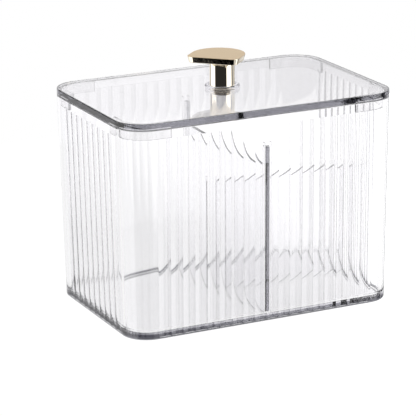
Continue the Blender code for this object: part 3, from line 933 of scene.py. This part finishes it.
def gold_plating(name, look, satin_from=None):
    """Gold plating, polished all over, with a satin top above a height if one is given."""
    material, tree, shader, _ = shader_material(name)
    _, marks = surface_detail(tree, GOLD_DETAIL)
    rough = spread(tree, marks, look.mirror_roughness * POLISH_SHARE, look.mirror_roughness)
    normal = lifted_normal(tree, look.lift)
    if satin_from is None:
        tone = colour_mix(tree, marks, look.mirror, scaled(look.mirror, GOLD_FADE))
    else:
        place = object_place(tree)
        top = math_value(tree, "GREATER_THAN", split(tree, place)["Z"], satin_from)
        lines = {"Vector": place, "Rotation": (0, 0, BRUSH_TURN), "Scale": BRUSH_SCALE}
        stretched = new_node(tree, "ShaderNodeMapping", lines).outputs[0]
        brushed = new_node(tree, "ShaderNodeTexNoise", {"Vector": stretched, "Scale": 1, "Detail": 2})
        low, high = scaled(SATIN_SHARES, look.satin_roughness)
        rough = value_mix(tree, top, rough, spread(tree, brushed.outputs["Fac"], low, high))
        tone = colour_mix(tree, top, look.mirror, look.satin)
        normal = bumped(tree, brushed.outputs["Fac"], SATIN_BUMP, normal)
    feed(tree, shader, {"Metallic": 1, "Roughness": rough, "Base Color": tone, "Normal": normal})
    return material


def zinc_plating(look):
    """Dull zinc plating for the screw."""
    material, tree, shader, _ = shader_material("zinc_plating")
    _, marks = surface_detail(tree, ZINC_DETAIL)
    feed(tree, shader, {
        "Metallic": 1,
        "Base Color": colour_mix(tree, marks, look.zinc, scaled(look.zinc, ZINC_FADE)),
        "Roughness": spread(tree, marks, *ZINC_ROUGHNESS),
        "Normal": lifted_normal(tree, look.lift),
    })
    return material


# The stage

def make_camera(look):
    """The camera at the photograph's place."""
    yaw, pitch, roll = look.yaw, look.pitch, look.roll
    forward = Vector((math.sin(yaw) * math.cos(pitch), math.cos(yaw) * math.cos(pitch), -math.sin(pitch)))
    level = Vector((math.cos(yaw), -math.sin(yaw), 0))
    down = forward.cross(level)
    right = level * math.cos(roll) + down * math.sin(roll)
    down = down * math.cos(roll) - level * math.sin(roll)
    aim = Vector((0, 0, look.aim_height))
    place = aim - right * look.aside - down * look.below - forward * look.distance
    data = bpy.data.cameras.new("Camera")
    data.lens = data.sensor_width * look.focal_share
    data.clip_start, data.clip_end = CLIP_RANGE
    camera = bpy.data.objects.new("Camera", data)
    camera.matrix_world = Matrix((
        (right.x, -down.x, -forward.x, place.x),
        (right.y, -down.y, -forward.y, place.y),
        (right.z, -down.z, -forward.z, place.z),
        (0, 0, 0, 1),
    ))
    bpy.context.scene.collection.objects.link(camera)
    bpy.context.scene.camera = camera


def painted_table_light(tree, look):
    """A white with a painted shadow that dims it under the box, away from its outline, and painted light
    that brightens it to the right.
    """
    compute = partial(math_value, tree)
    place = split(tree, object_place(tree))
    inside_x = compute("SUBTRACT", BODY_HIGH.x, compute("ABSOLUTE", place["X"]))
    inside_y = compute("SUBTRACT", BODY_HIGH.y, compute("ABSOLUTE", place["Y"]))
    inside = compute("MINIMUM", inside_x, inside_y)
    shade = spread(tree, inside, 1, look.shade, 0, look.shade_reach, smooth=True)
    start, end = scaled(RIGHT_LIGHT_SHARES, BODY_HIGH.x)
    return compute("MULTIPLY", shade, spread(tree, place["X"], 1, look.right_light, start, end))


def make_table(look):
    """A pale table top that fades into the white backdrop."""
    bm = bmesh.new()
    reach, back = look.table_reach, look.table_back
    corners = [(-reach, -reach, 0), (reach, -reach, 0), (reach, back, 0), (-reach, back, 0)]
    bm.faces.new([bm.verts.new(corner) for corner in corners])
    table = mesh_object("table", bm)
    material, tree, shader, _ = shader_material("pale_table")
    seen = new_node(tree, "ShaderNodeLightPath").outputs["Is Camera Ray"]
    # The table glows; its colour carries the painted shadow under the box and the painted light at its right
    # end
    feed(tree, shader, {
        "Base Color": (0, 0, 0, 1),
        "Specular IOR Level": 0,
        "Emission Color": painted_table_light(tree, look),
        "Emission Strength": value_mix(tree, seen, look.table_light, look.table_white),
    })
    material.cycles.emission_sampling = "NONE"
    table.data.materials.append(material)
    table.visible_glossy = False


# (degrees to the right of the camera, brightness) round the box: what polished faces show above and below
# their level, and what shows through the plastic
UPPER_RING = (
    (-180, 1.02), (-152, 1.02), (-148, 0.25), (-124, 0.05), (-121, 2.0), (-72, 2.0), (-66, 0.03),
    (40, 0.03), (44, 2.2), (92, 2.2), (94, 0.05), (106, 0.05), (109, 0.7), (148, 0.7), (152, 0.90),
    (180, 0.90),
)
LOWER_RING = (
    (-180, 0.30), (-160, 1.0), (-130, 1.0), (-126, 0.8), (-122, 0.8), (-119, 1.2), (-46, 1.9), (-40, 0.0),
    (28, 0.0), (31, 0.8), (45, 0.8), (48, 0.1), (55, 0.1), (58, 1.5), (92, 1.5), (95, 0.05), (113, 0.05),
    (116, 1.2), (124, 1.2), (127, 0.0), (138, 0.0), (141, 1.0), (147, 1.0), (152, 0.1), (180, 0.1),
)
BACKDROP_RING = (
    (-180, 1.10), (-152, 1.10), (-146, 0.97), (-80, 0.97), (-66, 0.05), (112, 0.05), (118, 0.97),
    (148, 0.97), (152, 0.95), (180, 0.95),
)


def ring_level(tree, turn_share, stops):
    """A ring's brightness, from how far round a ray points, as a share of a full turn."""
    ramp = new_node(tree, "ShaderNodeValToRGB", {0: turn_share})
    elements = ramp.color_ramp.elements
    while len(elements) > 1:
        elements.remove(elements[-1])
    brightest = max(level for _, level in stops)
    for index, (degrees, level) in enumerate(stops):
        place = degrees / 360 + 0.5
        element = elements[0] if index == 0 else elements.new(place)
        element.position = place
        element.color = (level / brightest,) * 3 + (1,)
    ring = new_node(tree, "ShaderNodeSeparateColor", {0: ramp.outputs[0]}).outputs[0]
    return math_value(tree, "MULTIPLY", ring, brightest)


def make_world(look):
    """White to the camera, and a ring of soft boxes and dark gaps to what reflects and refracts."""
    world = bpy.data.worlds.new("Studio")
    world.use_nodes = True
    bpy.context.scene.world = world
    world.cycles.sampling_method = "NONE"
    tree = world.node_tree
    tree.nodes.clear()
    compute = partial(math_value, tree)
    ray = new_node(tree, "ShaderNodeTexCoord").outputs["Generated"]
    turned_ray = new_node(tree, "ShaderNodeVectorRotate", {"Vector": ray, "Angle": look.yaw},
                          rotation_type="Z_AXIS").outputs[0]
    parts = split(tree, turned_ray)
    azimuth = compute("ARCTAN2", parts["X"], compute("MULTIPLY", parts["Y"], -1))
    turn_share = compute("ADD", compute("DIVIDE", azimuth, 4 * QUARTER), 0.5)
    lower, upper, backdrop = [ring_level(tree, turn_share, ring)
                              for ring in (LOWER_RING, UPPER_RING, BACKDROP_RING)]
    path = new_node(tree, "ShaderNodeLightPath").outputs
    mirrored = value_mix(tree, compute("GREATER_THAN", parts["Z"], 0.0), lower, upper)
    around = value_mix(tree, path["Is Transmission Ray"], mirrored, backdrop)
    overhead = spread(tree, parts["Z"], 0, 1, *OVERHEAD_BAND, smooth=True)
    level = value_mix(tree, overhead, around, OVERHEAD_LIGHT)
    toned = new_node(tree, "ShaderNodeVectorMath", {0: STUDIO_TONE, "Scale": level}, operation="SCALE")
    studio = new_node(tree, "ShaderNodeBackground", {"Color": toned.outputs[0]}).outputs[0]
    white = new_node(tree, "ShaderNodeBackground", {"Color": (1, 1, 1, 1)}).outputs[0]
    mix = new_node(tree, "ShaderNodeMixShader", {0: path["Is Camera Ray"], 1: studio, 2: white})
    new_node(tree, "ShaderNodeOutputWorld", {"Surface": mix.outputs[0]})


def make_render_settings():
    """Light paths long enough for many clear walls, and plain colours."""
    scene = bpy.context.scene
    scene.view_settings.view_transform = "Standard"
    for name, bounces in LIGHT_PATHS.items():
        setattr(scene.cycles, name, bounces)
    scene.cycles.caustics_reflective = True
    scene.cycles.caustics_refractive = True
    scene.cycles.blur_glossy = 0


# Operators

class OrganizerPiece:
    """What every operator of this add-on shares."""
    bl_options = {"REGISTER", "UNDO"}


class ORGANIZER_OT_fluted_box(OrganizerPiece, bpy.types.Operator):
    """Make the fluted box with its rails"""
    bl_idname = "organizer.fluted_box"
    bl_label = "Fluted Box"

    def execute(self, context):
        sizes = scene_sizes(context)
        look = sizes["plastic"]
        # The upright faces beside the floor carry painted shade up to this height
        floor_shade_top = sizes["box"].foot_height + sizes["box"].floor_thickness
        plastic = clear_plastic("box_plastic", look, haze=look.flute_haze, floor_shade_top=floor_shade_top)
        make_fluted_box(sizes, plastic)
        return {"FINISHED"}


class ORGANIZER_OT_panels(OrganizerPiece, bpy.types.Operator):
    """Make the two panels that part the box"""
    bl_idname = "organizer.panels"
    bl_label = "Panels"

    def execute(self, context):
        sizes = scene_sizes(context)
        # The panels' upright ends carry painted shade from this height up
        ends_shaded_from = MAIN_HIGH.z - sizes["panels"].ear_height
        plastic = clear_plastic("panel_plastic", sizes["plastic"], ends_shaded_from=ends_shaded_from)
        make_main_panel(sizes, plastic)
        make_cross_panel(sizes, plastic)
        return {"FINISHED"}


class ORGANIZER_OT_lid(OrganizerPiece, bpy.types.Operator):
    """Make the lid with its lugs"""
    bl_idname = "organizer.lid"
    bl_label = "Lid"

    def execute(self, context):
        sizes = scene_sizes(context)
        look = sizes["plastic"]
        plastic = clear_plastic("lid_plastic", look, tint=look.lid_tint, absorption=look.lid_absorption)
        make_lid_plate(sizes, plastic)
        return {"FINISHED"}


class ORGANIZER_OT_knob(OrganizerPiece, bpy.types.Operator):
    """Make the knob with its cap, stem, collar and screw"""
    bl_idname = "organizer.knob"
    bl_label = "Knob"

    def execute(self, context):
        sizes = scene_sizes(context)
        look = sizes["gold"]
        satin_from = CAP_HIGH.z - sizes["knob"].cap_edge / 2
        make_gold_cap(sizes, gold_plating("satin_gold", look, satin_from))
        make_mirror_stem(sizes, gold_plating("mirror_gold", look))
        make_clear_collar(sizes, clear_plastic("collar_plastic", sizes["plastic"]))
        make_pan_screw(sizes, zinc_plating(look))
        return {"FINISHED"}


class ORGANIZER_OT_stage(OrganizerPiece, bpy.types.Operator):
    """Set the camera, the pale table and the soft studio light"""
    bl_idname = "organizer.stage"
    bl_label = "Stage"

    def execute(self, context):
        look = scene_sizes(context)["studio"]
        make_camera(look)
        make_table(look)
        make_world(look)
        make_render_settings()
        return {"FINISHED"}


class ORGANIZER_PT_panel(bpy.types.Panel):
    """Buttons for every piece of the organizer"""
    bl_idname = "ORGANIZER_PT_panel"
    bl_label = "Organizer"
    bl_space_type = "VIEW_3D"
    bl_region_type = "UI"
    bl_category = "Organizer"

    def draw(self, context):
        for operator in OPERATORS:
            self.layout.operator(operator.bl_idname)


GROUPS = {
    "box": FlutedBoxSizes,
    "panels": PanelSizes,
    "lid": LidSizes,
    "knob": KnobSizes,
    "plastic": PlasticLook,
    "gold": GoldLook,
    "studio": StudioLook,
}
OPERATORS = (
    ORGANIZER_OT_stage,
    ORGANIZER_OT_fluted_box,
    ORGANIZER_OT_panels,
    ORGANIZER_OT_lid,
    ORGANIZER_OT_knob,
)


def register():
    for group in GROUPS.values():
        bpy.utils.register_class(group)
    for name, group in GROUPS.items():
        setattr(bpy.types.Scene, PROPERTY_PREFIX + name, PointerProperty(type=group))
    for operator in OPERATORS:
        bpy.utils.register_class(operator)
    bpy.utils.register_class(ORGANIZER_PT_panel)


def unregister():
    bpy.utils.unregister_class(ORGANIZER_PT_panel)
    for operator in reversed(OPERATORS):
        bpy.utils.unregister_class(operator)
    for name in GROUPS:
        delattr(bpy.types.Scene, PROPERTY_PREFIX + name)
    for group in reversed(list(GROUPS.values())):
        bpy.utils.unregister_class(group)


def main():
    """Build every piece."""
    register()
    bpy.ops.organizer.stage()
    bpy.ops.organizer.fluted_box()
    bpy.ops.organizer.panels()
    bpy.ops.organizer.lid()
    bpy.ops.organizer.knob()


if __name__ == "__main__":
    main()
